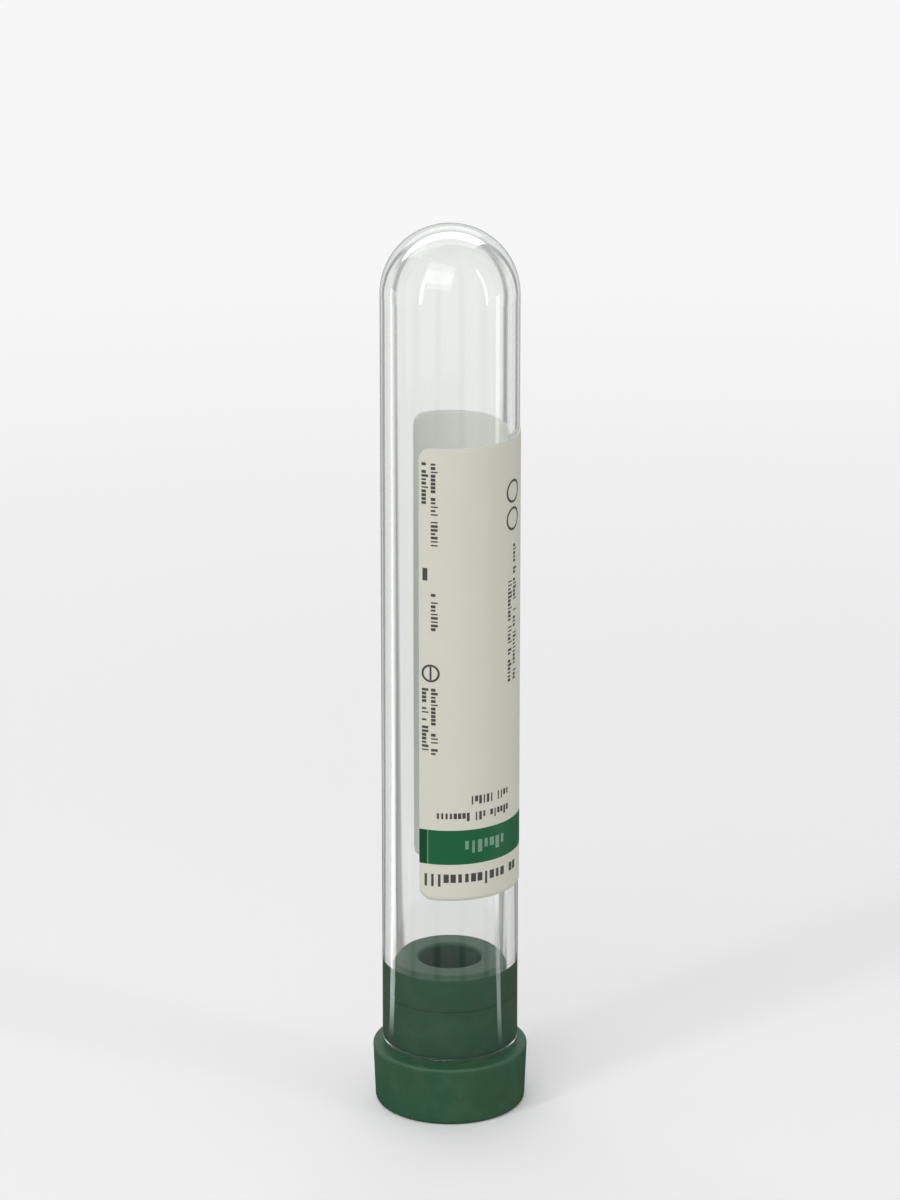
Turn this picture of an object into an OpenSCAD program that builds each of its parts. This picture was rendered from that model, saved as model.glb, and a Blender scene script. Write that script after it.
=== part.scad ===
// Stoppered glass tube for collecting blood. A round-bottomed glass tube is closed by a push-in
// rubber stopper and carries a paper label. It is drawn standing on its head, on the raised rim of
// the stopper's top: it can't stand on its round bottom, and on its side it rolls. All sizes are in
// millimetres.

/* [Glass tube] */
// Outer diameter of the tube
tube_d = 16; // [13:0.1:20]
// Length of the glass, from the round bottom to the mouth
tube_l = 100; // [75:0.5:130]
// Wall thickness
wall = 1.2; // [0.9:0.05:1.6]
// Extra thickness of the glass at the middle of the round bottom
bottom_extra = 0.4; // [0:0.1:1]

/* [Stopper head] */
// How far the head stands out past the glass
head_overhang = 1.15; // [0.5:0.05:2.5]
// Height of the head
head_h = 7.2; // [5:0.1:10]
// How much narrower the head is at its top than at its lower edge, on each side
head_draft = 0.3; // [0:0.05:0.6]
// Rounding of the head's top edge
head_top_r = 0.55; // [0.3:0.05:1]
// Rounding of the head's lower edge
head_low_r = 0.35; // [0.2:0.05:0.8]
// Width of the raised rim round the top
rim_w = 1.4; // [1:0.1:2.5]
// Depth of the recess inside the rim
recess_depth = 1; // [0.5:0.1:2]

/* [Stopper plug] */
// Length of the plug, below the head
plug_l = 11; // [9:0.1:15]
// Radial clearance between the plug and the bore of the glass
plug_clearance = 0.05; // [0.02:0.01:0.1]
// Clearance between the underside of the head and the mouth of the glass
seat_clearance = 0.05; // [0.02:0.01:0.1]
// Distance from the head to the middle of the ring groove
groove_drop = 6.5; // [4:0.1:8.5]
// Radius of the ring groove's round section
groove_r = 0.3; // [0.2:0.05:1]
// Depth of the ring groove
groove_depth = 0.15; // [0.1:0.05:0.6]
// Height of the tapered end of the plug
tip_h = 0.8; // [0.5:0.1:2.5]
// How much the tapered end narrows, on each side
tip_taper = 0.3; // [0.2:0.05:1.2]
// Diameter of the well in the plug's underside, at its mouth
well_d = 7.4; // [5:0.1:9]
// How much narrower the well is at its closed end, on each side
well_draft = 0.3; // [0:0.05:0.6]
// Thickness of the rubber between the recess and the well, which the needle goes through
septum_t = 6; // [4:0.1:8]

/* [Label] */
// Bare glass between the mouth of the tube and the label
label_top_margin = 21; // [14:0.5:30]
// Bare glass between the label and the round bottom's end
label_low_margin = 24; // [16:0.5:35]
// Width of the label, measured round the glass
label_w = 34; // [15:0.5:40]
// Thickness of the paper
label_t = 0.1; // [0.06:0.01:0.15]
// Thickness of the adhesive under the paper
adhesive_t = 0.02; // [0.01:0.01:0.05]
// Rounding of the label's corners
label_corner_r = 1.5; // [0.5:0.1:3]
// Turn of the label's clear-side edge away from the tube's front, in degrees
label_edge_turn = 26; // [0:1:90]

/* [Hidden] */
$fn = 96;

// Margin by which a cutting shape runs past what it cuts
past = 1;
// The same for the discs that round the label's corners
corner_past = 0.01;

// Glass
tube_r = tube_d / 2;
bore_r = tube_r - wall;
mouth_r = wall / 2;
bore_z = tube_r + bottom_extra;

// Stopper, whose heights are measured from the underside of the head
head_r = tube_r + head_overhang;
head_top_edge_r = head_r - head_draft;
recess_r = head_top_edge_r - rim_w;
recess_z = head_h - recess_depth;
plug_r = bore_r - plug_clearance;
well_r = well_d / 2;
well_top_r = well_r - well_draft;
well_top_z = recess_z - septum_t;
seat_z = tube_l + seat_clearance;

// Outline of half the stopper, as [across, up, rounding]: from the septum down through the well,
// up the outside of the plug, over the head and down into the recess
stopper_outline = [
    [0, well_top_z, 0],
    [well_top_r, well_top_z, 1.2],
    [well_r, -plug_l, 0.4],
    [plug_r - tip_taper, -plug_l, 0.4],
    [plug_r, tip_h - plug_l, 0.8],
    [plug_r, 0, 0.3],
    [head_r, 0, head_low_r],
    [head_top_edge_r, head_h, head_top_r],
    [recess_r, head_h, 0.3],
    [recess_r, recess_z, 0.4],
    [0, recess_z, 0]
];

// Label
label_r = tube_r + adhesive_t;
label_h = tube_l - label_top_margin - label_low_margin;
label_angle = label_w / (2 * PI * label_r) * 360;
label_end = label_edge_turn - 90;

function unit(v) = v / norm(v);

// Half the angle of the corner at a point of an outline, and the point's neighbours
function before(outline, i) = outline[(i + len(outline) - 1) % len(outline)];
function after(outline, i) = outline[(i + 1) % len(outline)];
function spot(corner) = [corner[0], corner[1]];
function way_back(outline, i) = unit(spot(before(outline, i)) - spot(outline[i]));
function way_on(outline, i) = unit(spot(after(outline, i)) - spot(outline[i]));
function half_angle(outline, i) = acos(way_back(outline, i) * way_on(outline, i)) / 2;
function is_convex(outline, i) = cross(way_on(outline, i), way_back(outline, i)) > 0;

// The two points where a corner's arc begins and ends, and the arc's centre
function arc_ends(outline, i) =
    let (reach = outline[i][2] / tan(half_angle(outline, i)))
    [spot(outline[i]) + reach * way_back(outline, i), spot(outline[i]) + reach * way_on(outline, i)];
function arc_centre(outline, i) =
    let (middle = unit(way_back(outline, i) + way_on(outline, i)))
    spot(outline[i]) + outline[i][2] / sin(half_angle(outline, i)) * middle;

// A closed outline, listed anticlockwise as [across, up, rounding], with true arcs as corners:
// an outer corner is cut straight and filled with a disc, an inner one is filled straight and
// cut with a disc.
module rounded_outline(outline) {
    corners = [for (i = [0 : len(outline) - 1]) if (outline[i][2] > 0) i];
    difference() {
        union() {
            polygon([
                for (i = [0 : len(outline) - 1])
                    each (outline[i][2] > 0 ? arc_ends(outline, i) : [spot(outline[i])])
            ]);
            for (i = corners)
                if (is_convex(outline, i))
                    translate(arc_centre(outline, i)) circle(r = outline[i][2]);
        }
        for (i = corners)
            if (!is_convex(outline, i))
                translate(arc_centre(outline, i)) circle(r = outline[i][2]);
    }
}

// Turns a piece, made upright on the round bottom, over onto the top of the stopper
module on_its_head() {
    translate([0, 0, seat_z + head_h])
        rotate([0, 180, 0])
            children();
}

// Half of the glass tube's lengthwise section
module glass_section() {
    difference() {
        union() {
            translate([0, tube_r]) circle(r = tube_r);
            translate([0, tube_r]) square([tube_r, tube_l - tube_r - mouth_r]);
            translate([tube_r - mouth_r, tube_l - mouth_r]) circle(r = mouth_r);
        }
        translate([0, bore_z]) circle(r = bore_r);
        translate([0, bore_z]) square([bore_r, tube_l - bore_z]);
        translate([-tube_r - past, -past]) square([tube_r + past, tube_l + 2 * past]);
    }
}

module glass_tube() {
    color([0.86, 0.92, 0.9, 0.35])
        on_its_head()
            rotate_extrude()
                glass_section();
}

// Half of the stopper's lengthwise section
module stopper_section() {
    difference() {
        rounded_outline(stopper_outline);
        translate([plug_r + groove_r - groove_depth, -groove_drop]) circle(r = groove_r);
    }
}

module stopper() {
    color([0.24, 0.42, 0.33])
        on_its_head()
            translate([0, 0, seat_z])
                rotate_extrude()
                    stopper_section();
}

// What is cut off the label at an end whose empty side is +Y, to round its two corners. The
// discs reach past the label's edges by corner_past, so that their arcs cross them at an angle.
module label_end_cut() {
    inset = label_corner_r - corner_past;
    translate([label_r - past, 0, 0])
        rotate([90, 0, 90])
            linear_extrude(label_t + 2 * past)
                difference() {
                    translate([-inset, -past])
                        square([inset + past, label_h + 2 * past]);
                    for (up = [inset, label_h - inset])
                        translate([-inset, up])
                            circle(r = label_corner_r);
                    translate([-inset - past, inset])
                        square([inset + 3 * past, label_h - 2 * inset]);
                }
}

module label() {
    color([0.93, 0.92, 0.88])
        on_its_head()
            translate([0, 0, label_low_margin])
                difference() {
                    rotate_extrude(start = label_end - label_angle, angle = label_angle)
                        translate([label_r, 0])
                            square([label_t, label_h]);
                    rotate([0, 0, label_end]) label_end_cut();
                    rotate([0, 0, label_end - label_angle]) mirror([0, 1, 0]) label_end_cut();
                }
}

glass_tube();
stopper();
label();
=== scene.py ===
"""A stoppered glass tube for collecting blood, standing on its stopper on a pale floor.

The glass, the rubber stopper and the paper label are surfaces over two parameters, worked out as
whole arrays and dressed with procedural finishes. Their sizes are in millimetres and measured as
the tube is used, stopper up, from the outside end of its round bottom. turned_over() then puts the
points into the frame, in metres, with the stopper below. Heights in a finish are the frame's, in
millimetres. The lamps, the camera and the floor's width are in metres.
"""

import functools
import logging
import math
import operator
from collections.abc import Iterable, Sequence
from dataclasses import dataclass, field
from enum import Enum

import bpy
import numpy as np
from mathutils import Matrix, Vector


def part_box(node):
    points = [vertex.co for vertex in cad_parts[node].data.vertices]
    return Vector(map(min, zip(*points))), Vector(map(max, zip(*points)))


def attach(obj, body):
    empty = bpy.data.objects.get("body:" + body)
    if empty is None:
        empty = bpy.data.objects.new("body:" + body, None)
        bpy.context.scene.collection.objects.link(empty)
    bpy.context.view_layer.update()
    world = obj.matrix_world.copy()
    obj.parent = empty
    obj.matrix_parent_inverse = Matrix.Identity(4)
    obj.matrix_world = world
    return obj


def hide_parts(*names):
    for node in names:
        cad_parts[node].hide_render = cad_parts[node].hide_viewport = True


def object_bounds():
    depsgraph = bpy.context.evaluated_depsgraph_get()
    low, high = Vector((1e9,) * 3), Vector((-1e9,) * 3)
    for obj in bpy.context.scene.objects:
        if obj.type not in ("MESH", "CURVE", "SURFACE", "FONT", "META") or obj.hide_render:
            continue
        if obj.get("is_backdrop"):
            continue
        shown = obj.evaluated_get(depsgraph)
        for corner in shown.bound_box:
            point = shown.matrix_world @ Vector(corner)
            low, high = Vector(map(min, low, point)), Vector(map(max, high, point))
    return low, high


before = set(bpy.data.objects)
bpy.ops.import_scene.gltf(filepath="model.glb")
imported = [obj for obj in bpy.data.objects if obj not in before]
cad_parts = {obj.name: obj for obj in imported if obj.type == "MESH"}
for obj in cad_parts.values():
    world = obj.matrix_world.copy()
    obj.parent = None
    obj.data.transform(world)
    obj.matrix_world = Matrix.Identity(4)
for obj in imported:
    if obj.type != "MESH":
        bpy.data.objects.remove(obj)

log = logging.getLogger("tube")

MM = 0.001

# Distances in millimetres below which two points, and two heights, are the same
SAME_POINT = 1e-6
SAME_HEIGHT = 0.01


class Body(Enum):
    """The bodies of the frame that a piece can ride on."""

    STOPPER = "stopper"
    TUBE = "tube"


class Slot(Enum):
    """The material slots that a piece can take its finish from."""

    GLASS = "tube_glass"
    RUBBER = "stopper_rubber"
    PAPER = "label_paper"


# Shapes


@dataclass(frozen=True)
class Skin:
    """A surface as points and the faces that join them.

    Attributes:
        points: One row of x, y and z for each point, in millimetres.
        faces: The points of each face, anticlockwise seen from outside.
        face_slots: The material slot of each face, or None for a single slot.
        places: Where each corner of each face lies on the flat piece, or None without such a map.
    """

    points: np.ndarray
    faces: list[Sequence[int]]
    face_slots: np.ndarray | None = None
    places: np.ndarray | None = None


def turned_over(points: np.ndarray, top: float) -> np.ndarray:
    """Turns upright points over onto the stopper: half a turn about Y, then up to the top.

    Args:
        points: Points in millimetres, up from the end of the round bottom.
        top: Height of the end of the round bottom in the frame, in metres.

    Returns:
        The points in the frame, in metres.
    """
    return points * np.array([-MM, MM, -MM]) + np.array([0.0, 0.0, top])


def linked(name: str, data: bpy.types.ID) -> bpy.types.Object:
    """Makes an object and links it into the scene.

    Args:
        name: Name of the object.
        data: Its mesh, lamp or lens.

    Returns:
        The new object.
    """
    made = bpy.data.objects.new(name, data)
    bpy.context.scene.collection.objects.link(made)
    return made


def mesh_object(name: str, skin: Skin, top: float) -> bpy.types.Object:
    """Makes an object of a skin, smooth all over, with its place in its mesh.

    Args:
        name: Name of the object.
        skin: The surface.
        top: Height of the end of the round bottom in the frame, in metres.

    Returns:
        The new object, linked into the scene.
    """
    mesh = bpy.data.meshes.new(name)
    mesh.from_pydata(turned_over(skin.points, top).tolist(), [], skin.faces)
    mesh.polygons.foreach_set("use_smooth", np.ones(len(mesh.polygons), dtype=bool))
    if skin.face_slots is not None:
        mesh.polygons.foreach_set("material_index", skin.face_slots.astype(np.int32))
    if skin.places is not None:
        mesh.uv_layers.new(name="flat").data.foreach_set("uv", skin.places.ravel())
    mesh.update()
    return linked(name, mesh)


def rounded(corners: np.ndarray, steps: int = 9) -> np.ndarray:
    """Rounds the corners of an open outline with true arcs.

    The centre of a corner's arc lies on the line that halves the corner's angle, its radius over
    the sine of half the angle away. The arc runs between the two points where it touches the
    sides, as the unit vectors from the centre to them, turned into each other.

    Args:
        corners: One row of across, up and rounding for each corner. The two ends have none.
        steps: Points on each arc.

    Returns:
        The outline's points as rows of across and up.
    """
    spots, radii = corners[:, :2], corners[1:-1, 2:]
    ways = np.diff(spots, axis=0)
    ways /= np.linalg.norm(ways, axis=1, keepdims=True)
    back, onward = -ways[:-1], ways[1:]
    half = np.arccos(np.clip((back * onward).sum(1, keepdims=True), -1, 1)) / 2
    middle = back + onward
    middle /= np.linalg.norm(middle, axis=1, keepdims=True)
    centre = spots[1:-1] + middle * radii / np.sin(half)
    first = spots[1:-1] + back * radii / np.tan(half) - centre
    last = spots[1:-1] + onward * radii / np.tan(half) - centre
    sweep = np.pi - 2 * half
    share = np.linspace(0, 1, steps)[None, :, None]
    turn = sweep[:, None, :]
    arcs = centre[:, None, :] + (
        np.sin((1 - share) * turn) * first[:, None, :] + np.sin(share * turn) * last[:, None, :]
    ) / np.sin(turn)
    outline = np.concatenate([spots[:1], arcs.reshape(-1, 2), spots[-1:]])
    apart = np.linalg.norm(np.diff(outline, axis=0), axis=1) > SAME_POINT
    return outline[np.concatenate([[True], apart])]


def filled_in(outline: np.ndarray, longest: float) -> np.ndarray:
    """Puts extra points on the long straight parts of an outline.

    The places along the outline are its own points' distances from its start, together with
    evenly spaced ones in every part longer than the limit.

    Args:
        outline: Rows of across and up.
        longest: Longest distance left between two points, in millimetres.

    Returns:
        The outline with the extra points.
    """
    gaps = np.linalg.norm(np.diff(outline, axis=0), axis=1)
    along = np.concatenate([[0.0], np.cumsum(gaps)])
    counts = np.maximum(np.ceil(gaps / longest).astype(int), 1)
    start = np.repeat(along[:-1], counts)
    step = np.repeat(gaps / counts, counts)
    rank = np.arange(counts.sum()) - np.repeat(np.cumsum(counts) - counts, counts)
    at = np.append(start + step * rank, along[-1])
    return np.stack([np.interp(at, along, outline[:, k]) for k in (0, 1)], axis=1)


def turned(outline: np.ndarray, turns: int) -> tuple[np.ndarray, np.ndarray, np.ndarray]:
    """Lays out a lathe surface: every point of an outline at every angle of a full turn.

    Args:
        outline: Rows of across and up, without the two ends on the axis.
        turns: Steps in the full turn.

    Returns:
        Three arrays of outline points by angles: the distance from the axis, the angle in
        radians and the height.
    """
    angle = np.linspace(0, 2 * np.pi, turns, endpoint=False)
    across, angles = np.meshgrid(outline[:, 0], angle, indexing="ij")
    up = np.repeat(outline[:, 1:], turns, axis=1)
    return across, angles, up


def closed_skin(across: np.ndarray, angles: np.ndarray, up: np.ndarray, ends: tuple) -> Skin:
    """Closes a lathe surface with one point on the axis at each end.

    Args:
        across: Distance of each grid point from the axis.
        angles: Angle of each grid point.
        up: Height of each grid point.
        ends: Height on the axis before the first ring and after the last ring.

    Returns:
        The closed skin. Its outline has to run anticlockwise for its faces to point outwards.
    """
    rings, turns = across.shape
    grid = np.stack([across * np.cos(angles), across * np.sin(angles), up], axis=2)
    axis = np.array([[0.0, 0.0, ends[0]], [0.0, 0.0, ends[1]]])
    points = np.concatenate([grid.reshape(-1, 3), axis])
    here = np.arange(turns)
    beside = np.roll(here, -1)
    ring = (np.arange(rings - 1) * turns)[:, None]
    quads = np.stack(
        [ring + here, ring + beside, ring + turns + beside, ring + turns + here], axis=2
    ).reshape(-1, 4)
    last = (rings - 1) * turns
    first_pole, last_pole = rings * turns, rings * turns + 1
    cap = np.stack([np.full(turns, first_pole), beside, here], axis=1)
    lid = np.stack([np.full(turns, last_pole), last + here, last + beside], axis=1)
    return Skin(points, [*quads.tolist(), *cap.tolist(), *lid.tolist()])


def ripple(angles: np.ndarray, up: np.ndarray, waves: Sequence[tuple]) -> np.ndarray:
    """Adds up long waves round a tube: each is a cosine of the angle whose phase drifts along it.

    Args:
        angles: Angle of each grid point.
        up: Height of each grid point, in millimetres.
        waves: Rows of count round the tube, share, phase and drift in radians per millimetre.

    Returns:
        The sum of the waves, between -1 and 1.
    """
    count, share, phase, drift = (np.array(column)[:, None, None] for column in zip(*waves))
    return (share * np.cos(count * angles + phase + drift * up)).sum(0) / share.sum()


# Shader maths


class Strand:
    """A number, colour or vector on its way between shader nodes, to write sums with."""

    def __init__(self, board: "Board", socket: bpy.types.NodeSocket) -> None:
        """Keeps the socket that the value comes from, and the board its node is on."""
        self.board = board
        self.socket = socket

    def maths(self, operation: str, *others: "Strand | float") -> "Strand":
        """Returns the given operation of a Math node on this value and the others."""
        return self.board.maths(operation, self, *others)

    def __add__(self, other: "Strand | float") -> "Strand":
        """Returns self + other."""
        return self.maths("ADD", other)

    def __sub__(self, other: "Strand | float") -> "Strand":
        """Returns self - other."""
        return self.maths("SUBTRACT", other)

    def __rsub__(self, other: float) -> "Strand":
        """Returns other - self."""
        return self.board.maths("SUBTRACT", other, self)

    def __mul__(self, other: "Strand | float") -> "Strand":
        """Returns self * other."""
        return self.maths("MULTIPLY", other)

    def __truediv__(self, other: "Strand | float") -> "Strand":
        """Returns self / other."""
        return self.maths("DIVIDE", other)

    def __neg__(self) -> "Strand":
        """Returns -self."""
        return 0.0 - self

    def __gt__(self, other: "Strand | float") -> "Strand":
        """Returns 1 where self is over other, and 0 elsewhere."""
        return self.maths("GREATER_THAN", other)

    def __lt__(self, other: "Strand | float") -> "Strand":
        """Returns 1 where self is under other, and 0 elsewhere."""
        return self.maths("LESS_THAN", other)

    __radd__ = __add__
    __rmul__ = __mul__

    def absolute(self) -> "Strand":
        """Returns the distance from 0."""
        return self.maths("ABSOLUTE")

    def root(self) -> "Strand":
        """Returns the square root."""
        return self.maths("SQRT")

    def whole(self) -> "Strand":
        """Returns the whole number below."""
        return self.maths("FLOOR")

    def part(self) -> "Strand":
        """Returns what is left above the whole number below."""
        return self.maths("FRACT")

    def either(self, other: "Strand | float") -> "Strand":
        """Returns the larger of the two."""
        return self.maths("MAXIMUM", other)

    def rise(self, start: float, end: float) -> "Strand":
        """Returns 0 up to start and 1 from end on, with a smooth step between."""
        sockets = {"Value": self, "From Min": start, "From Max": end}
        return self.board.add("ShaderNodeMapRange", {"interpolation_type": "SMOOTHSTEP"}, sockets)

    def turn(self, other: "Strand") -> "Strand":
        """Returns the angle in radians whose sine is to its cosine as self is to other."""
        return self.maths("ARCTAN2", other)

    def cosine(self) -> "Strand":
        """Returns the cosine of an angle in radians."""
        return self.maths("COSINE")

    def matches(self, number: float) -> "Strand":
        """Returns 1 where a whole number is the given one, and 0 elsewhere."""
        return self.maths("COMPARE", number, 0.5)

    def inside(self, low: float, high: float) -> "Strand":
        """Returns 1 between two numbers, and 0 elsewhere."""
        return (self > low) * (self < high)


class Board:
    """The nodes of one material or world."""

    def __init__(self, owner: bpy.types.ID) -> None:
        """Clears the owner's nodes, to start with an empty board.

        Args:
            owner: The material or world.
        """
        owner.use_nodes = True
        self.owner = owner
        self.tree = owner.node_tree
        self.tree.nodes.clear()

    @classmethod
    def of_material(cls, name: str) -> "Board":
        """Makes a new material and returns its board."""
        return cls(bpy.data.materials.new(name))

    def node(
        self, kind: str, settings: dict | None = None, sockets: dict | None = None
    ) -> bpy.types.Node:
        """Adds a node.

        Args:
            kind: The node's type.
            settings: Values of the node's own properties, which are set first.
            sockets: Value or strand of each input, by name or number.

        Returns:
            The new node.
        """
        node = self.tree.nodes.new(kind)
        for key, value in (settings or {}).items():
            setattr(node, key, value)
        for key, value in (sockets or {}).items():
            if isinstance(value, Strand):
                self.tree.links.new(value.socket, node.inputs[key])
            else:
                node.inputs[key].default_value = value
        return node

    def add(self, *node: object, out: int | str = 0) -> Strand:
        """Adds a node, given as node() takes it, and returns the output of that name or number."""
        return Strand(self, self.node(*node).outputs[out])

    def maths(self, operation: str, *values: Strand | float) -> Strand:
        """Returns the given operation of a Math node on the values."""
        return self.add("ShaderNodeMath", {"operation": operation}, dict(enumerate(values)))

    def parts(self, at: Strand) -> list[Strand]:
        """Returns the three parts of a place or a direction."""
        node = self.node("ShaderNodeSeparateXYZ", None, {0: at})
        return [Strand(self, out) for out in node.outputs]

    def rays(self, *kinds: str) -> list[Strand]:
        """Returns a strand for each kind of ray: 1 for such a ray, and 0 for any other."""
        node = self.node("ShaderNodeLightPath")
        return [Strand(self, node.outputs[f"Is {kind} Ray"]) for kind in kinds]

    def place(self) -> Strand:
        """Returns the place on the object in millimetres."""
        at = self.add("ShaderNodeTexCoord", out="Object")
        return self.add("ShaderNodeVectorMath", {"operation": "SCALE"}, {0: at, "Scale": 1 / MM})

    def stretched(self, at: Strand, x: float, y: float, z: float) -> Strand:
        """Returns a place with each direction multiplied by a number."""
        return self.add("ShaderNodeVectorMath", {"operation": "MULTIPLY"}, {0: at, 1: (x, y, z)})

    def cloud(self, at: Strand, scale: float, detail: float = 2.0, rough: float = 0.5) -> Strand:
        """Returns smooth noise between 0 and 1.

        Args:
            at: The place.
            scale: Lumps per millimetre.
            detail: How many finer layers are added.
            rough: How strong the finer layers are.

        Returns:
            The noise.
        """
        sockets = {"Vector": at, "Scale": scale, "Detail": detail, "Roughness": rough}
        return self.add("ShaderNodeTexNoise", None, sockets)

    def chance(self, number: Strand, seed: float) -> Strand:
        """Returns a fixed random value between 0 and 1 for each value of a number."""
        return self.add("ShaderNodeTexWhiteNoise", {"noise_dimensions": "1D"}, {"W": number + seed})

    def blend(self, share: Strand | float, below: object, above: object) -> Strand:
        """Mixes two colours.

        Args:
            share: How much of the upper colour shows, from 0 to 1.
            below: The lower colour, as a strand or as red, green and blue.
            above: The upper colour, likewise.

        Returns:
            The mixed colour.
        """
        colours = [c if isinstance(c, Strand) else (*c, 1.0) for c in (below, above)]
        # By number, because the node's inputs for numbers, colours and vectors share their names
        sockets = {0: share, 6: colours[0], 7: colours[1]}
        return self.add("ShaderNodeMix", {"data_type": "RGBA"}, sockets, out=2)

    def bump(self, height: Strand, depth: float) -> Strand:
        """Returns the normal of a fine relief.

        Args:
            height: The relief, from 0 to 1.
            depth: What a height of 1 is, in millimetres.

        Returns:
            The normal.
        """
        sockets = {"Height": height, "Distance": depth * MM, "Strength": 1.0}
        return self.add("ShaderNodeBump", None, sockets)

    def shader(self, sockets: dict) -> Strand:
        """Returns the usual shader of a surface with these sockets."""
        return self.add("ShaderNodeBsdfPrincipled", None, sockets)

    def mix(self, share: Strand, below: Strand, above: Strand) -> Strand:
        """Returns two shaders mixed, with the share of the upper one."""
        return self.add("ShaderNodeMixShader", None, {0: share, 1: below, 2: above})

    def surface(self, shader: Strand, **more: Strand) -> bpy.types.Material:
        """Sends a shader, and a Volume if one is given, to the output and returns the material."""
        self.node("ShaderNodeOutputMaterial", None, {"Surface": shader, **more})
        return self.owner


# Finishes


@dataclass(frozen=True)
class ClearGlass:
    """Clear drawn glass with faint lines along it. Light from lamps and walls goes through.

    Attributes:
        tint: The colour that the body of the glass lets through.
        lamp_tint: What one face of it lets through of a lamp's light.
        body_tint: The colour that is left of white light deep in the glass.
        dimming: How fast the glass takes light in, per metre.
        bend: Index of refraction.
        line_stretch: How fast the drawing lines change along the glass.
        line_depth: Depth of the drawing lines, in millimetres.
        drawn_end: Heights between which the lines fade, towards the round bottom, in millimetres.
    """

    tint: tuple = (0.989, 0.994, 0.986)
    lamp_tint: tuple = (0.96, 0.968, 0.964)
    body_tint: tuple = (0.44, 0.52, 0.48)
    dimming: float = 40.0
    bend: float = 1.474
    line_stretch: float = 0.012
    line_depth: float = 0.002
    drawn_end: tuple = (88.0, 101.0)

    def material(self) -> bpy.types.Material:
        """Makes the material."""
        board = Board.of_material("clear_glass")
        at = board.place()
        drawn = 1.0 - board.parts(at)[2].rise(*self.drawn_end)
        lengthwise = board.stretched(at, 1.0, 1.0, self.line_stretch)
        lines = board.cloud(lengthwise, scale=1.3, detail=3.0) * drawn
        sockets = {
            "Base Color": (*self.tint, 1.0),
            "Roughness": 0.0,
            "IOR": self.bend,
            "Transmission Weight": 1.0,
            "Normal": board.bump(lines, self.line_depth),
        }
        glass = board.shader(sockets)
        open_way = board.add("ShaderNodeBsdfTransparent", None, {"Color": (*self.lamp_tint, 1.0)})
        body = {"Color": (*self.body_tint, 1.0), "Density": self.dimming}
        lamp, soft = board.rays("Shadow", "Diffuse")
        return board.surface(
            board.mix(lamp, board.mix(soft, glass, open_way), open_way),
            Volume=board.add("ShaderNodeVolumeAbsorption", None, body),
        )


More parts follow.
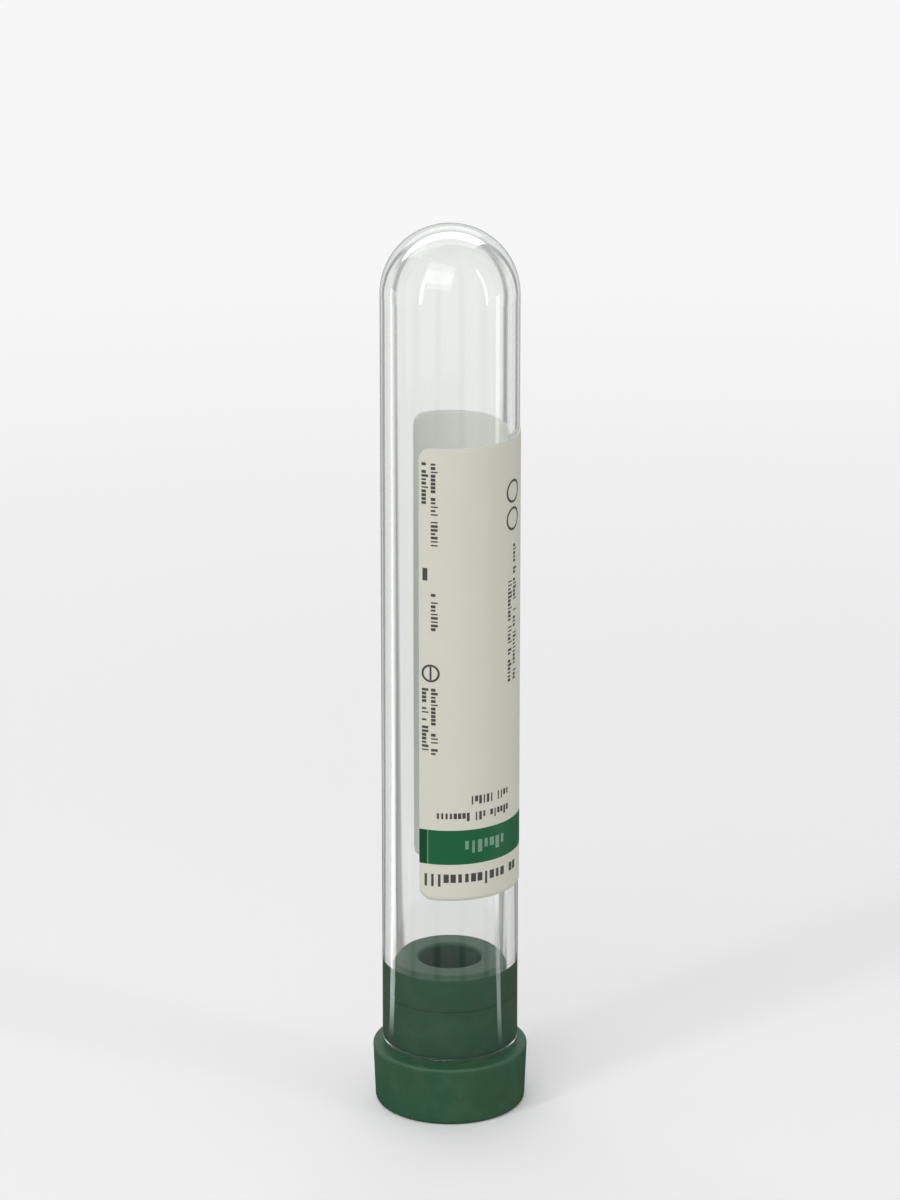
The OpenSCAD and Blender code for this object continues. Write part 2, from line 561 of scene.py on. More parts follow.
@dataclass(frozen=True)
class MouldedRubber:
    """Satin green rubber, moulded in a fine-grained mould.

    Attributes:
        colour: The rubber's own colour.
        warm: The colour of its warmer patches.
        patch_and_highlight_colour: Paler colour of its matte patches and of the painted highlight.
        warm_share: How much of the warmer colour shows at most.
        patch_and_highlight_shares: How much of it shows at most, in patches and as painted
            highlight.
        roughness: Lowest and highest roughness.
        bend: Index of refraction.
        shine: How strong its reflections are.
        grain: Lumps of the mould's grain per millimetre.
        grain_depth: Depth of the grain, in millimetres.
        head: Radius and height of the head's edge with the painted highlight, in millimetres.
        edge_highlight: How far in from the edge and down from it the painted highlight begins.
        sharp: How far from the edge the painted highlight is full.
        plug: How much darker the plug is, as painted shade inside the glass under the head.
        plug_side: Distances from the axis between which that painted shade ends.
        plug_start: Height over the head at which it is full.
        line: Height of the closed ring groove on the plug, in millimetres.
        line_side: Distance from the axis from which that line shows, to leave out the well.
        line_edge: Distances from the line's middle between which it ends.
        line_shade: How much darker the line is, as painted shade in the groove.
    """

    colour: tuple = (0.027, 0.104, 0.052)
    warm: tuple = (0.038, 0.098, 0.040)
    patch_and_highlight_colour: tuple = (0.080, 0.168, 0.106)
    warm_share: float = 0.6
    patch_and_highlight_shares: tuple = (0.32, 0.30)
    roughness: tuple = (0.42, 0.58)
    bend: float = 1.52
    shine: float = 0.32
    grain: float = 9.0
    grain_depth: float = 0.012
    head: tuple = (9.15, 7.2)
    edge_highlight: tuple = (0.45, 0.55)
    sharp: float = 0.05
    plug: float = 0.2
    plug_side: tuple = (6.9, 7.3)
    plug_start: float = 0.4
    line: float = 13.7
    line_side: float = 6.0
    line_edge: tuple = (0.05, 0.24)
    line_shade: float = 0.45

    def material(self) -> bpy.types.Material:
        """Makes the material."""
        board = Board.of_material("moulded_rubber")
        at = board.place()
        x, y, up = board.parts(at)
        away = (x * x + y * y).root()
        (radius, height), (inward, down) = self.head, self.edge_highlight
        # Painted highlight: a paler band along the head's edge, where light catches its rounding.
        at_side = away.rise(radius - inward, radius - self.sharp)
        edge_highlight = at_side * up.rise(height - down, height - self.sharp)
        patches = board.cloud(at, scale=0.35, detail=3.0)
        specks = board.cloud(at, scale=4.0)
        clouds = (patches * 0.7 + specks * 0.3).rise(0.42, 0.72)
        # The paler colour in random patches is the rubber's own; on the head's edge it is painted
        # highlight.
        patch_and_highlight = clouds * self.patch_and_highlight_shares[0] + edge_highlight * self.patch_and_highlight_shares[1]
        grain = board.cloud(at, scale=self.grain, rough=0.6)
        swell = board.cloud(at, scale=0.5, detail=1.0)
        # Painted shade: a dark line along the closed ring groove.
        off_line = (up - self.line).absolute()
        closed = (away > self.line_side) * (1.0 - off_line.rise(*self.line_edge))
        # Painted shade: the plug is darker inside the glass, under the head.
        plug_shade = up.rise(height, height + self.plug_start) * (1.0 - away.rise(*self.plug_side))
        darker = (closed * self.line_shade).either(plug_shade * self.plug)
        warmth = board.cloud(at, scale=0.16, rough=0.6).rise(0.30, 0.75) * self.warm_share
        rubber = board.blend(warmth, self.colour, self.warm)
        rubber = board.blend(patch_and_highlight, rubber, self.patch_and_highlight_colour)
        smooth, rough = self.roughness
        sockets = {
            "Base Color": board.blend(darker, rubber, (0.0, 0.0, 0.0)),
            "Roughness": smooth + (rough - smooth) * (patch_and_highlight * 2.0 + grain * 0.4),
            "IOR": self.bend,
            "Specular IOR Level": self.shine,
            "Normal": board.bump(grain + swell * 2.0, self.grain_depth),
        }
        return board.surface(board.shader(sockets))


@dataclass(frozen=True)
class PlainPaper:
    """The back and the cut edges of the label's paper, with its adhesive.

    Attributes:
        colour: The paper's colour.
        shade: Share of it that is left between the fibres.
        roughness: The paper's roughness.
        fibre_depth: Depth of its fibres, in millimetres.
    """

    colour: tuple = (0.89, 0.885, 0.84)
    shade: float = 0.93
    roughness: float = 0.75
    fibre_depth: float = 0.006

    def fibres(self, board: Board) -> Strand:
        """Returns the relief of the paper's fibres: fine ones, and longer ones along the tube.

        Args:
            board: The board of the material.

        Returns:
            The relief, from 0 to 1.
        """
        at = board.place()
        fine = board.cloud(at, scale=11.0, detail=3.0, rough=0.7)
        long = board.cloud(board.stretched(at, 1.0, 1.0, 0.3), scale=5.0)
        return fine * 0.6 + long * 0.4

    def material(self) -> bpy.types.Material:
        """Makes the material."""
        board = Board.of_material("label_back")
        fibres = self.fibres(board)
        darker = tuple(c * self.shade for c in self.colour)
        sockets = {
            "Base Color": board.blend(fibres, darker, self.colour),
            "Roughness": self.roughness,
            "Normal": board.bump(fibres, self.fibre_depth),
        }
        return board.surface(board.shader(sockets))


def total(strands: Iterable[Strand]) -> Strand:
    """Returns the sum of one or more strands."""
    return functools.reduce(operator.add, strands)


@dataclass(frozen=True)
class Lanes:
    """Evenly spaced rows of small printed bars, which stand for lines of small print.

    Attributes:
        foot: Where the foot of the first row is, across the rows.
        pitch: Distance from one row to the next.
        height: Height of the tallest bars.
        cell: Width of one cell, which holds one bar.
        seed: Number that the pattern is drawn from.
        patches: Which stretches are printed, as the number of the row, the start and the end.
        row_step: How many cells later in the pattern the next row begins.
        draws: Values of a cell from which it has a bar, a narrower, a tall and a wide tall one.
        halves: Half a bar's width in cells, and what each later kind adds to it.
        low: Height of a low bar, as a share of a tall one's.
        blur: Softness of the bars' edges.
    """

    foot: float
    pitch: float
    height: float
    cell: float
    seed: float
    patches: tuple
    row_step: float = 57.0
    draws: tuple = (0.13, 0.50, 0.68, 0.88)
    halves: tuple = (0.39, -0.13, -0.07, 0.15)
    low: float = 0.68
    blur: float = 0.02

    def mask(self, board: Board, along: Strand, across: Strand) -> Strand:
        """Returns the mask of the rows.

        Every row is cut into equal cells. The random value of a cell leaves it empty or gives it
        a wide or a narrow bar, and the upper values give it a tall one.

        Args:
            board: The board.
            along: Distance along the rows.
            across: Distance across the rows, which grows towards the bars' heads.

        Returns:
            The mask.
        """
        lane = (across - self.foot) / self.pitch
        row = lane.whole()
        count = along / self.cell
        draw = board.chance(count.whole() + row * self.row_step, self.seed)
        filled, narrower, tall, wider = (draw > value for value in self.draws)
        off_middle = (count.part() - 0.5).absolute()
        wide, *steps = self.halves
        half = wide + steps[0] * narrower + steps[1] * tall + steps[2] * wider
        soft = self.blur / self.cell
        bar = 1.0 - (off_middle - half).rise(-soft, soft)
        above = lane.part() * self.pitch
        head = (self.low + (1 - self.low) * tall) * self.height
        below = 1.0 - (above - head).rise(-self.blur, self.blur)
        printed = total(
            row.matches(number) * along.inside(start, end) for number, start, end in self.patches
        )
        return bar * below * filled * printed


@dataclass(frozen=True)
class PrintedPaper:
    """The label's printed front: a green band, rows of small blocks, and plain marks.

    Attributes:
        width: Width of the label, in millimetres.
        height: Height of the label, in millimetres.
        paper: The bare paper.
        ink: The dark print.
        band_green: The band.
        band_dark: The darker strip at the band's end.
        pale: The print in the band.
        shade: Share of the paper's colour that is left between the fibres.
        roughness: Roughness of the bare paper.
        shine: How strong the label's reflections are.
        band: Where the band begins and ends, down from the label's upper edge.
        strip: Where the darker strip ends, across the label.
        thread: Where the thin pale line beside it ends.
        pale_shares: How much of the pale print shows in the title's row and in that line.
        title: The rows of the title and of the print in the band, along the label's width.
        lines: The rows below the band, from the lower one up.
        sides: The rows that run down the label's sides.
        rings: Rows of place down and across, radius and line width of the printed rings.
        blocks: Rows of start and end down and start and end across of the printed blocks.
    """

    width: float
    height: float
    paper: tuple = (0.695, 0.687, 0.600)
    ink: tuple = (0.025, 0.027, 0.026)
    band_green: tuple = (0.009, 0.125, 0.048)
    band_dark: tuple = (0.003, 0.070, 0.024)
    pale: tuple = (0.30, 0.47, 0.36)
    shade: float = 0.94
    roughness: float = 0.62
    shine: float = 0.25
    band: tuple = (4.5, 8.75)
    strip: float = 0.95
    thread: float = 1.12
    pale_shares: tuple = (0.62, 0.35)
    title: Lanes = Lanes(
        foot=-7.4,
        pitch=4.1,
        height=1.55,
        cell=0.80,
        seed=3.1,
        patches=((1, 20.8, 33.6), (0, 23.2, 29.6)),
    )
    lines: Lanes = Lanes(
        foot=-12.9,
        pitch=2.0,
        height=1.05,
        cell=0.50,
        seed=7.7,
        patches=((1, 22.5, 32.5), (0, 22.5, 28.0)),
    )
    sides: Lanes = Lanes(
        foot=0.35,
        pitch=1.1,
        height=0.80,
        cell=0.46,
        seed=2.3,
        patches=(
            (0, 17.94, 26.22),
            (1, 17.94, 26.22),
            (1, 33.12, 38.18),
            (1, 43.24, 48.3),
            (0, 48.3, 53.36),
            (1, 48.3, 53.36),
            (10, 25.76, 38.18),
            (11, 25.76, 42.32),
        ),
    )
    rings: tuple = ((28.0, 1.4, 0.95, 0.26), (45.4, 12.4, 1.25, 0.30), (48.7, 12.4, 1.25, 0.30))
    blocks: tuple = ((39.2, 40.7, 0.45, 1.05), (27.2, 28.8, 1.28, 1.52))

    @staticmethod
    def ring(down: Strand, across: Strand, radius: float, line: float, blur: float = 0.03) -> Strand:
        """Returns the mask of a printed ring.

        Args:
            down: Distance down from the ring's middle.
            across: Distance across from it.
            radius: Radius of the middle of its line.
            line: Width of its line.
            blur: Softness of the line's edges.

        Returns:
            The mask.
        """
        off_line = ((down * down + across * across).root() - radius).absolute()
        return 1.0 - off_line.rise(line / 2 - blur, line / 2 + blur)

    def ink_mask(self, board: Board, across: Strand, down: Strand) -> Strand:
        """Returns the mask of all dark print outside the band.

        Args:
            board: The board.
            across: Distance from the label's clear-side edge.
            down: Distance from its upper edge.

        Returns:
            The mask.
        """
        small = self.lines.mask(board, self.width - across, -down)
        small = small + self.sides.mask(board, down, across)
        rings = [self.ring(down - low, across - out, *size) for low, out, *size in self.rings]
        blocks = [down.inside(*place[:2]) * across.inside(*place[2:]) for place in self.blocks]
        return (small + total(rings + blocks)).maths("MINIMUM", 1.0)

    def material(self) -> bpy.types.Material:
        """Makes the material. Across runs from the label's clear-side edge, down from its top."""
        board = Board.of_material("printed_label")
        u, v, _ = board.parts(board.add("ShaderNodeUVMap", {"uv_map": "flat"}))
        across, down = (1.0 - u) * self.width, (1.0 - v) * self.height

        title = self.title.mask(board, self.width - across, -down)
        band = down.inside(*self.band)
        in_title, in_thread = self.pale_shares
        thread = across.inside(self.strip, self.thread) * in_thread
        in_band = board.blend(across < self.strip, self.band_green, self.band_dark)
        in_band = board.blend((title * in_title).either(thread), in_band, self.pale)
        ink = (title * (1.0 - band)).either(self.ink_mask(board, across, down))

        backing = PlainPaper()
        fibres = backing.fibres(board)
        cast = board.cloud(board.place(), scale=0.22)
        darker = tuple(c * self.shade for c in self.paper)
        paper = board.blend(fibres * 0.5 + cast * 0.5, darker, self.paper)
        printed = board.blend(band, paper, in_band)
        inked = band.either(ink)
        sockets = {
            "Base Color": board.blend(ink * (0.88 + 0.10 * fibres), printed, self.ink),
            "Roughness": self.roughness - 0.16 * inked + 0.06 * fibres,
            "Specular IOR Level": self.shine,
            "Normal": board.bump(fibres + inked * 0.3, backing.fibre_depth),
        }
        return board.surface(board.shader(sockets))


@dataclass(frozen=True)
class DarkStrips:
    """Narrow dark strips all round the object, seen through glass only, which give it its edges.

    Attributes:
        count: How many there are.
        dark: Share of the light that they take.
        rise: The negative cosine of the turn between two strips, where one begins and is full.
    """

    count: int = 8
    dark: float = 0.62
    rise: tuple = (0.5, 0.95)

    def mask(self, x: Strand, y: Strand) -> Strand:
        """Returns how much light is taken, by the bearing of a place or a direction."""
        between = -(x.turn(-y) * float(self.count)).cosine()
        return between.rise(*self.rise) * self.dark


@dataclass(frozen=True)
class StudioFloor:
    """A plain pale floor. Only shiny surfaces and glass show the cards that lie on it.

    As in a glass maker's studio, dark strips between the bright fields give the glass its edges,
    and two white strips give it its long highlights.

    Attributes:
        colour: The floor's colour.
        lift: Light that the camera, and what is seen through glass, have on it near the object.
        backdrop: Brightness that they have it at far from the object, where it meets the room.
        fade: Distances over which it turns into the backdrop, in millimetres.
        dimming: Share of the floor's light that reflections don't show, near and far.
        far: Distances over which near turns into far, in millimetres.
        strips: The dark strips.
        whites: Bearing, half the width in degrees and brightness of the white strips.
        white_edge: Half the width of their soft edges, in degrees.
        clear: Distances over which all strips begin, in millimetres.
    """

    colour: tuple = (0.86, 0.86, 0.86)
    lift: float = 0.08
    backdrop: float = 0.93
    fade: tuple = (90.0, 420.0)
    dimming: tuple = (0.88, 0.62)
    far: tuple = (60.0, 120.0)
    strips: DarkStrips = DarkStrips()
    whites: tuple = ((-107.0, 6.5, 3.6), (84.0, 4.0, 3.5))
    white_edge: float = 1.5
    clear: tuple = (24.0, 40.0)

    def material(self) -> bpy.types.Material:
        """Makes the material. The bearing is the angle round the object from the viewer."""
        board = Board.of_material("studio_floor")
        camera, glossy, through = board.rays("Camera", "Glossy", "Transmission")
        mirror = glossy * (1.0 - through)
        x, y, _ = board.parts(board.place())
        away = (x * x + y * y).root()
        begun = away.rise(*self.clear)
        dark = through * begun * self.strips.mask(x, y)
        white = total(self.white(x, y, away, *strip) for strip in self.whites)
        near, far = self.dimming
        dim = mirror * (near + (far - near) * away.rise(*self.far))
        seen, faded = camera.either(through), away.rise(*self.fade)
        taken = 1.0 - (1.0 - dark) * (1.0 - dim) * (1.0 - seen * faded)
        glow = seen * (1.0 - dark) * (self.lift + (self.backdrop - self.lift) * faded)
        glow = glow + mirror * begun * white
        lit = board.add("ShaderNodeBsdfDiffuse", None, {"Color": (*self.colour, 1.0)})
        none = board.add("ShaderNodeBsdfDiffuse", None, {"Color": (0.0, 0.0, 0.0, 1.0)})
        shine = board.add("ShaderNodeEmission", None, {"Color": glow, "Strength": 1.0})
        under = board.mix(taken, lit, none)
        return board.surface(board.add("ShaderNodeAddShader", None, {0: under, 1: shine}))

    def white(
        self, x: Strand, y: Strand, away: Strand, bearing: float, half: float, light: float
    ) -> Strand:
        """Returns the light of a white strip, by the cosine of the turn away from its bearing.

        Args:
            x: Place on the floor, to the right.
            y: Place on the floor, away from the viewer.
            away: Distance of that place from the object.
            bearing: Bearing of the strip's middle, in degrees.
            half: Half the strip's width, in degrees.
            light: The strip's brightness.

        Returns:
            The light.
        """
        angle = math.radians(bearing)
        facing = (x * math.sin(angle) - y * math.cos(angle)) / away
        edges = (math.cos(math.radians(half + way * self.white_edge)) for way in (1, -1))
        return facing.rise(*edges) * light


# Pieces


@dataclass
class GlassTube:
    """The round-bottomed glass tube.

    Attributes:
        radius: Outer radius.
        length: Length from the round bottom to the mouth.
        wall: Wall thickness.
        bottom_extra: Extra thickness at the middle of the round bottom.
        turns: Steps round the tube.
        steps: Points on the round bottom's quarter circles and on the mouth's half circle.
        spacing: Longest distance between two points along the tube.
        outer_ripple: How far the drawn glass falls short of round outside.
        inner_ripple: How far its bore is wider in places.
        grown: Heights over which the ripples grow, above the round bottom and below the mouth.
        lip: Height of the lip at the mouth, which has no ripples.
        bore_turn: How far the bore's ripples are turned from the outside's, in radians.
        waves: Rows of count, share, phase and drift for the drawn glass's ripples.
        finish: The glass.
    """

    radius: float = 8.0
    length: float = 100.0
    wall: float = 1.2
    bottom_extra: float = 0.4
    turns: int = 256
    steps: tuple = (49, 25)
    spacing: float = 2.0
    outer_ripple: float = 0.010
    inner_ripple: float = 0.022
    grown: tuple = (12.0, 3.0)
    lip: float = 1.0
    bore_turn: float = 0.7
    waves: tuple = (
        (2, 1.0, 0.4, 0.004),
        (5, 0.7, 1.9, -0.006),
        (9, 0.45, 0.2, 0.009),
        (14, 0.3, 2.7, -0.011),
        (23, 0.16, 4.0, 0.015),
    )
    finish: ClearGlass = field(default_factory=ClearGlass)

    def outline(self) -> tuple[np.ndarray, tuple]:
        """Returns half the lengthwise section, from pole to pole, and the heights of the poles.

        The outside is a quarter circle and a straight side, the mouth is half a circle as thick
        as the wall, and the bore comes back down to a quarter circle of its own.
        """
        bore = self.radius - self.wall
        bore_low = self.radius + self.bottom_extra
        mouth = self.wall / 2
        quarter = np.linspace(0, np.pi / 2, self.steps[0])[1:]
        outside = np.stack(
            [self.radius * np.sin(quarter), self.radius * (1 - np.cos(quarter))], axis=1
        )
        half = np.linspace(0, np.pi, self.steps[1])
        rim = np.stack(
            [bore + mouth + mouth * np.cos(half), self.length - mouth + mouth * np.sin(half)], axis=1
        )
        inside = np.stack([bore * np.sin(quarter), bore_low - bore * np.cos(quarter)], axis=1)[::-1]
        outline = filled_in(np.concatenate([outside, rim, inside]), self.spacing)
        return outline, (0.0, self.bottom_extra + self.wall)

    def skin(self) -> Skin:
        """Returns the closed glass wall.

        The distance from the axis is the outline's. Outside, it is made smaller by half of one
        plus the ripples, and in the bore larger, with the full depth on the straight part only.
        """
        outline, poles = self.outline()
        across, angles, up = turned(outline, self.turns)
        height = outline[:, 1]
        outside = np.arange(len(outline)) < np.argmax(height)
        straight = np.clip((height - self.radius) / self.grown[0], 0, 1)
        straight *= np.clip((self.length - self.lip - height) / self.grown[1], 0, 1)
        depth = straight * np.where(outside, -self.outer_ripple, self.inner_ripple)
        waves = np.where(
            outside[:, None],
            ripple(angles, up, self.waves),
            ripple(angles + self.bore_turn, up, self.waves[::-1]),
        )
        across = across + depth[:, None] * (0.5 + 0.5 * waves)
        return closed_skin(across, angles, up, poles)

    def build(self) -> None:
        """Makes the glass, dresses it and sets it on its body."""
        piece = mesh_object("glass_wall", self.skin(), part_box("glass_tube")[1][2])
        piece.data.materials.append(self.finish.material())
        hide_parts("glass_tube")
        settle(piece, Body.TUBE, Slot.GLASS)


@dataclass
class Stopper:
    """The moulded rubber stopper, with heights from the underside of its head.

    Attributes:
        seat: Height of the head's underside above the end of the round bottom.
        head_radius: Radius of the head at its lower edge.
        head_height: Height of the head.
        head_draft: How much narrower the head is at its top, on each side.
        rim: Width of the raised rim round the top.
        recess: Depth of the recess inside the rim.
        plug_radius: Radius of the plug.
        plug_length: Length of the plug.
        tip_height: Height of the tapered end of the plug.
        tip_taper: How much that end narrows, on each side.
        groove_drop: Distance from the head to the middle of the ring groove.
        groove_half: Half the height of the ring groove.
        groove_depth: What the squeeze leaves of the ring groove's depth.
        squeeze: How far the plug's land stands out, pressed onto the glass with no air between.
            The end's taper is pressed out too, as far as the land goes.
        side: How far inside the plug's radius a point may be to be pressed out.
        land: Where the land begins and ends, below the head.
        land_edge: Height over which the land comes out.
        seating: Radius of the mouth's edge, half the width of its print in the head, and how far
            the head's underside stands out there.
        well_radius: Radius of the well at its mouth.
        well_draft: How much narrower the well is at its closed end, on each side.
        septum: Thickness of the rubber between the recess and the well.
        roundings: Rounding of each corner, from the well's closed end over the plug and the head
            to the edge of the recess's floor.
        turns: Steps round the stopper.
        spacing: Longest distance between two points of the outline.
        sway: How far the soft head is from round.
        sway_edge: How far inside the head's radius the sway begins, and over what width it grows.
        waves: Rows of count, share, phase and drift for the sway.
        finish: The rubber.
    """

    seat: float = 100.05
    head_radius: float = 9.15
    head_height: float = 7.2
    head_draft: float = 0.3
    rim: float = 1.4
    recess: float = 1.0
    plug_radius: float = 6.75
    plug_length: float = 11.0
    tip_height: float = 0.8
    tip_taper: float = 0.3
    groove_drop: float = 6.5
    groove_half: float = 0.26
    groove_depth: float = 0.015
    squeeze: float = 0.09
    side: float = 0.28
    land: tuple = (0.5, 10.7)
    land_edge: float = 0.25
    seating: tuple = (7.4, 0.45, 0.09)
    well_radius: float = 3.7
    well_draft: float = 0.3
    septum: float = 6.0
    roundings: tuple = (1.2, 0.4, 0.4, 0.8, 0.3, 0.35, 0.55, 0.3, 0.4)
    turns: int = 192
    spacing: float = 0.12
    sway: float = 0.02
    sway_edge: tuple = (0.6, 0.5)
    waves: tuple = ((3, 1.0, 0.8, 0.0), (7, 0.6, 2.1, 0.05), (11, 0.35, 4.4, -0.08))
    finish: MouldedRubber = field(default_factory=MouldedRubber)

    def outline(self) -> tuple[np.ndarray, tuple]:
        """Returns half the lengthwise section, anticlockwise from the septum, and its poles.

        The corners are rounded by true arcs. The ring groove takes the plug in by its depth times
        half of one plus the cosine, over one turn from its upper to its lower shoulder. The land
        goes out to the plug's radius and the squeeze, by the distance from the land's nearer end
        over the land's edge, up to 1. The head's underside stands out by the same cosine across
        the glass's edge.
        """
        top_radius = self.head_radius - self.head_draft
        recess_radius = top_radius - self.rim
        floor = self.head_height - self.recess
        well_top = floor - self.septum
        corners = np.array(
            [
                [0.0, well_top],
                [self.well_radius - self.well_draft, well_top],
                [self.well_radius, -self.plug_length],
                [self.plug_radius - self.tip_taper, -self.plug_length],
                [self.plug_radius, self.tip_height - self.plug_length],
                [self.plug_radius, 0.0],
                [self.head_radius, 0.0],
                [top_radius, self.head_height],
                [recess_radius, self.head_height],
                [recess_radius, floor],
                [0.0, floor],
            ]
        )
        corners = np.column_stack([corners, [0.0, *self.roundings, 0.0]])
        outline = filled_in(rounded(corners), self.spacing)
        drop = -outline[:, 1]
        from_groove = (self.groove_drop - drop) / self.groove_half
        groove = np.where(np.abs(from_groove) < 1, 0.5 + 0.5 * np.cos(np.pi * from_groove), 0.0)
        start, end = self.land
        land = np.clip(np.minimum(drop - start, end - drop) / self.land_edge, 0, 1)
        edge, reach, press = self.seating
        off_edge = np.clip((outline[:, 0] - edge) / reach, -1, 1)
        underside = np.abs(drop) < SAME_HEIGHT
        outline[:, 1] -= underside * press * (0.5 + 0.5 * np.cos(np.pi * off_edge))
        side = np.abs(outline[:, 0] - self.plug_radius) < self.side
        pressed = land * (self.plug_radius + self.squeeze - outline[:, 0])
        outline[:, 0] += side * (pressed - self.groove_depth * groove)
        outline[:, 1] += self.seat
        return outline[1:-1], (self.seat + well_top, self.seat + floor)

    def skin(self) -> Skin:
        """Returns the closed stopper. The head's side sways in and out with the angle."""
        outline, poles = self.outline()
        across, angles, up = turned(outline, self.turns)
        start, width = self.sway_edge
        on_side = np.clip((across - self.head_radius + start) / width, 0, 1)
        across = across - self.sway * on_side * (0.5 + 0.5 * ripple(angles, up, self.waves))
        return closed_skin(across, angles, up, poles)

    def build(self) -> None:
        """Makes the stopper, dresses it and sets it on its body."""
        piece = mesh_object("rubber_stopper", self.skin(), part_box("glass_tube")[1][2])
        piece.data.materials.append(self.finish.material())
        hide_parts("stopper")
        settle(piece, Body.STOPPER, Slot.RUBBER)


@dataclass
class Label:
    """The paper label, wrapped round the glass.

    Attributes:
        inner_radius: Radius of the paper's back.
        paper: Thickness of the paper.
        adhesive: How far its adhesive reaches in from there, a little way into the glass's face, so
            that no air lies between.
        width: Width of the label, measured round its back.
        low: Height of its lower edge.
        high: Height of its upper edge.
        corner: Rounding of its corners.
        edge_turn: Angle of its clear-side edge, from the front.
        steps: Columns at each side's corners and between them, and rows.
        bulge: How far the paper stands off in places, outwards.
        waves: Rows of count, share, phase and drift for these places.
    """

    inner_radius: float = 8.02
    paper: float = 0.1
    adhesive: float = 0.035
    width: float = 34.0
    low: float = 24.0
    high: float = 79.0
    corner: float = 1.5
    edge_turn: float = 26.0
    steps: tuple = (13, 121, 111)
    bulge: float = 0.012
    waves: tuple = ((4, 1.0, 0.3, 0.05), (9, 0.8, 2.2, -0.11), (17, 0.5, 1.0, 0.19))

    def skin(self) -> Skin:
        """Returns the closed sheet of paper.

        Columns run up the label. Within the corner radius r of a side edge, a column at distance
        d from that edge begins r minus the root of r squared less (r - d) squared above the lower
        edge, and ends as far below the upper one. The front is the same sheet as the back, further
        out by the adhesive and the paper, plus a little where the paper isn't quite flat.
        """
        height = self.high - self.low
        arc = self.corner * (1 - np.cos(np.linspace(0, np.pi / 2, self.steps[0])))
        middle = np.linspace(self.corner, self.width - self.corner, self.steps[1])[1:-1]
        across = np.concatenate([arc, middle, (self.width - arc)[::-1]])
        near = np.clip(self.corner - np.minimum(across, self.width - across), 0, None)
        start = self.corner - np.sqrt(self.corner**2 - near**2)
        share = np.linspace(0, 1, self.steps[2])
        up = start[:, None] + share * (height - 2 * start)[:, None]
        columns, rows = up.shape
        turn = math.radians(self.edge_turn - 90) - (self.width - across) / self.inner_radius
        angles = np.repeat(turn[:, None], rows, axis=1)
        off = np.clip(ripple(angles, up, self.waves), 0, 1)
        front = self.inner_radius + self.paper + self.bulge * off
        back = np.full_like(front, self.inner_radius - self.adhesive)
        sheets = [
            np.stack([r * np.cos(angles), r * np.sin(angles), up + self.low], axis=2).reshape(-1, 3)
            for r in (front, back)
        ]
        number = np.arange(columns * rows).reshape(columns, rows)
        face = np.stack(
            [number[:-1, :-1], number[1:, :-1], number[1:, 1:], number[:-1, 1:]], axis=2
        ).reshape(-1, 4)
        loop = np.concatenate(
            [number[:, 0], number[-1, 1:], number[-2::-1, -1], number[0, -2:0:-1]]
        )
        ahead = np.roll(loop, -1)
        rest = columns * rows
        edge = np.stack([loop, loop + rest, ahead + rest, ahead], axis=1)
        faces = np.concatenate([face, face[:, ::-1] + rest, edge])
        share_across = np.repeat(across[:, None], rows, axis=1) / self.width
        flat = np.stack([share_across, up / height], axis=2)
        places = np.tile(flat.reshape(-1, 2), (2, 1))[faces.ravel()]
        slots = np.where(np.arange(len(faces)) < len(face), 0, 1)
        return Skin(np.concatenate(sheets), faces.tolist(), slots, places)

    def build(self) -> None:
        """Makes the label, dresses its front and its back and sets it on its body."""
        piece = mesh_object("paper_label", self.skin(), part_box("glass_tube")[1][2])
        front = PrintedPaper(self.width, self.high - self.low)
        piece.data.materials.append(front.material())
        piece.data.materials.append(PlainPaper().material())
        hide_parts("label")
        settle(piece, Body.TUBE, Slot.PAPER)


def settle(piece: bpy.types.Object, body: Body, slot: Slot) -> None:
    """Sets a finished piece on its body and reports it.

    Args:
        piece: The piece.
        body: The body that it rides on.
        slot: The material slot that it takes its finish from; not used.
    """
    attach(piece, body.value)
    mesh = piece.data
    log.info("%s: %d points, %d faces", piece.name, len(mesh.vertices), len(mesh.polygons))


# Studio


@dataclass(frozen=True)
class Softbox:
    """A soft rectangular lamp that faces the object.

    Attributes:
        name: Name of the lamp.
        bearing: Direction from the object in degrees: 0 is towards the viewer, 90 to the right.
        lift: Height of the lamp over the horizon, in degrees.
        distance: Distance from the middle of the object, in metres.
        size: Width and height in metres.
        power: Power in watts.
        through_glass: Whether it is seen through glass, as a broad lamp may be.
    """

    name: str
    bearing: float
    lift: float
    distance: float
    size: tuple
    power: float
    through_glass: bool = True

    def build(self, aim: Vector) -> None:
        """Makes the lamp.

        Args:
            aim: The point that it faces.
        """
        lamp = bpy.data.lights.new(self.name, "AREA")
        lamp.shape = "RECTANGLE"
        lamp.size, lamp.size_y = self.size
        lamp.energy = self.power
        turn, lift = math.radians(self.bearing), math.radians(self.lift)
        away = Vector(
            (math.sin(turn) * math.cos(lift), -math.cos(turn) * math.cos(lift), math.sin(lift))
        )
        holder = linked(self.name, lamp)
        holder.location = aim + away * self.distance
        holder.rotation_euler = away.to_track_quat("Z", "Y").to_euler()
        holder.visible_transmission = self.through_glass


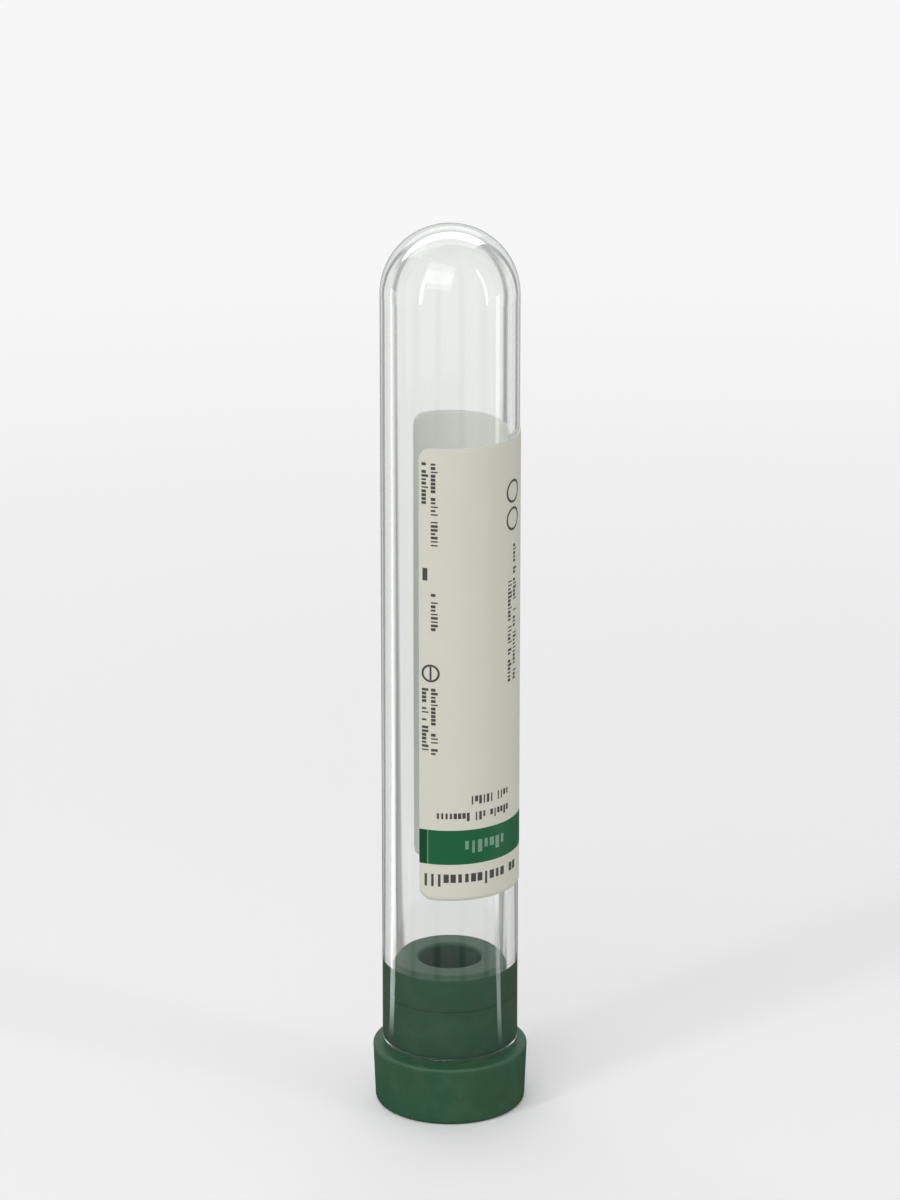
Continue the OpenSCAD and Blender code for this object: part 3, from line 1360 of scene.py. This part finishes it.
@dataclass
class Studio:
    """The floor, the lamps, the room's light and the camera.

    Attributes:
        floor_size: Width of the floor in metres.
        room_low: The room's brightness near the horizon, for light and reflections.
        room_high: The room's brightness overhead.
        brighter: Sines of the heights between which the one turns into the other.
        backdrop: The room as the camera sees it.
        clear_to: Sines of the heights between which glass stops showing the backdrop.
        view_lift: Height of the camera over the horizon, in degrees.
        view_distance: Distance of the camera from the middle of the object, in metres.
        object_share: Share of the picture's height that the object takes up.
        low_margin: Share of the picture's height below the object.
        sensor: Height of the camera's sensor in millimetres.
        lamps: The lamps.
    """

    floor_size: float = 8.0
    room_low: float = 0.40
    room_high: float = 0.50
    brighter: tuple = (-0.1, 0.7)
    backdrop: float = 0.93
    clear_to: tuple = (0.08, 0.45)
    view_lift: float = 19.0
    view_distance: float = 0.62
    object_share: float = 0.77
    low_margin: float = 0.055
    sensor: float = 36.0
    lamps: tuple = (
        Softbox(
            name="left_strip",
            bearing=-48.0,
            lift=24.0,
            distance=0.62,
            size=(0.07, 0.62),
            power=0.7,
            through_glass=False,
        ),
        Softbox(
            name="right_strip",
            bearing=62.0,
            lift=20.0,
            distance=0.62,
            size=(0.05, 0.62),
            power=0.5,
            through_glass=False,
        ),
        Softbox(
            name="front_key", bearing=-24.0, lift=48.0, distance=0.80, size=(0.60, 0.45), power=1.8
        ),
        Softbox(
            name="back_fill", bearing=190.0, lift=42.0, distance=0.85, size=(0.95, 0.55), power=1.9
        ),
    )

    def build_floor(self) -> None:
        """Makes the floor as one large square."""
        half = self.floor_size / 2
        mesh = bpy.data.meshes.new("floor")
        corners = [(-half, -half, 0), (half, -half, 0), (half, half, 0), (-half, half, 0)]
        mesh.from_pydata(corners, [], [(0, 1, 2, 3)])
        mesh.materials.append(StudioFloor().material())
        floor = linked("floor", mesh)
        floor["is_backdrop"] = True

    def build_room(self) -> None:
        """Lights the room softly, darker towards the horizon, on a pale backdrop.

        The camera sees the backdrop all round, and glass lets it through near the horizon, crossed
        by dark strips that carry on from those of the floor.
        """
        world = bpy.data.worlds.new("room")
        bpy.context.scene.world = world
        board = Board(world)
        way = board.add("ShaderNodeTexCoord", out="Generated")
        x, y, height = board.parts(way)
        camera, through = board.rays("Camera", "Transmission")
        glow = self.room_low + (self.room_high - self.room_low) * height.rise(*self.brighter)
        low = through * (1.0 - height.rise(*self.clear_to))
        seen = camera.either(low)
        shown = 1.0 - low * DarkStrips().mask(x, y)
        strength = glow * (1.0 - seen) + seen * shown * self.backdrop
        sockets = {"Color": (1.0, 1.0, 1.0, 1.0), "Strength": strength}
        light = board.add("ShaderNodeBackground", None, sockets)
        board.node("ShaderNodeOutputWorld", None, {"Surface": light})

    def build_camera(self, low: Vector, high: Vector) -> None:
        """Makes the camera, which looks down at the object and is held upright.

        It is aimed above the middle of the object, by half of what the margin above the object
        has over the margin below it, which leaves room for the tube that is lifted off its stopper.

        Args:
            low: Lowest corner of the object's box.
            high: Highest corner.
        """
        lift = math.radians(self.view_lift)
        back = Vector((0.0, -math.cos(lift), math.sin(lift)))
        up = Vector((0.0, math.sin(lift), math.cos(lift)))
        seen_height = (high.z - low.z) * math.cos(lift) + (high.y - low.y) * math.sin(lift)
        picture_height = seen_height / self.object_share
        raised = (0.5 - self.low_margin - self.object_share / 2) * picture_height
        lens = bpy.data.cameras.new("camera")
        lens.sensor_fit = "VERTICAL"
        lens.sensor_height = self.sensor
        lens.lens = self.sensor * self.view_distance / picture_height
        camera = linked("camera", lens)
        camera.location = (low + high) / 2 + up * raised + back * self.view_distance
        camera.rotation_euler = back.to_track_quat("Z", "Y").to_euler()
        bpy.context.scene.camera = camera

    def build(self) -> None:
        """Builds the studio round the object."""
        low, high = (Vector(corner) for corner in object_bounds())
        self.build_camera(low, high)
        self.build_floor()
        self.build_room()
        for lamp in self.lamps:
            lamp.build((low + high) / 2)
        bpy.context.scene.view_settings.view_transform = "Standard"
        log.info("studio: %d lamps", len(self.lamps))


def main() -> None:
    """Builds the studio and the pieces."""
    logging.basicConfig(level=logging.INFO, format="%(name)s: %(message)s")
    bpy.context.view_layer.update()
    Studio().build()
    for piece in (GlassTube(), Stopper(), Label()):
        piece.build()


if __name__ == "__main__":
    main()
